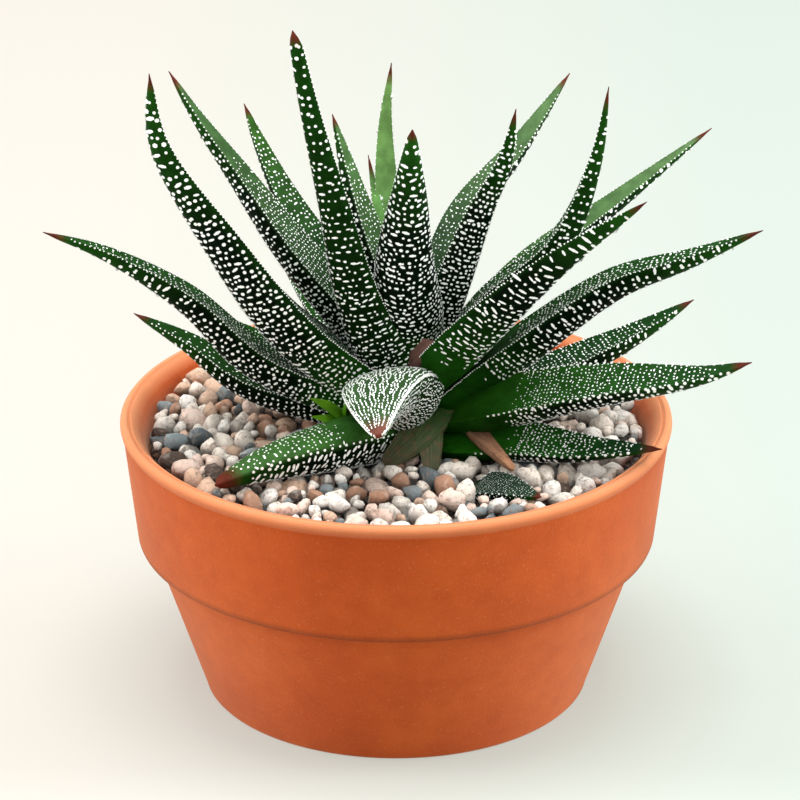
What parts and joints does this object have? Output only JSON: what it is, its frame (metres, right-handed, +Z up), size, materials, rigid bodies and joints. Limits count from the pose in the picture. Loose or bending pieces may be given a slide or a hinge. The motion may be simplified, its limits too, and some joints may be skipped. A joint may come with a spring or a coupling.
{
  "type": "potted haworthia",
  "caption": "Potted haworthia: a rosette of stiff tapered leaves with raised white dots, in a terracotta half pot topped with gravel.",
  "frame": {"origin": "centre of the flat underside of the pot, on the surface that it stands on", "axes": "+Z up along the pot's axis; the pictured front of the plant faces -Y, with +X to the right"},
  "size_m": [0.1512, 0.12, 0.1591],
  "materials": {
    "terracotta": "matte fired clay",
    "potting_soil": "rough",
    "gravel": "matte pebbles",
    "leaf": "satin, with white tubercles",
    "pup_leaf": "satin",
    "stem": "matte",
    "dried_leaf": "matte, withered"
  },
  "bodies": {
    "root": {"dried_leaf_front": "dried_leaf", "flower_stalk_stub": "dried_leaf", "gravel": "gravel", "leaf_back_left": "leaf", "leaf_back_low_left": "leaf", "leaf_back_low_mid_left": "leaf", "leaf_back_low_middle": "leaf", "leaf_back_low_right": "leaf", "leaf_back_right_tall": "leaf", "leaf_buried": "leaf", "leaf_centre_back": "leaf", "leaf_centre_left": "leaf", "leaf_centre_right": "leaf", "leaf_front_facing": "leaf", "leaf_front_left_low": "leaf", "leaf_front_mid": "leaf", "leaf_front_right_low": "leaf", "leaf_front_tall": "leaf", "leaf_left_back_tall": "leaf", "leaf_left_front_tall": "leaf", "leaf_left_long": "leaf", "leaf_left_low": "leaf", "leaf_right_back_raised": "leaf", "leaf_right_broad": "leaf", "leaf_right_front_raised": "leaf", "leaf_right_long": "leaf", "leaf_right_low": "leaf", "leaf_right_upturned": "leaf", "leaf_young": "leaf", "old_leaf_base": "stem", "pot": "terracotta", "pup": "pup_leaf", "soil": "potting_soil", "stem": "stem"}
  },
  "joints": []
}
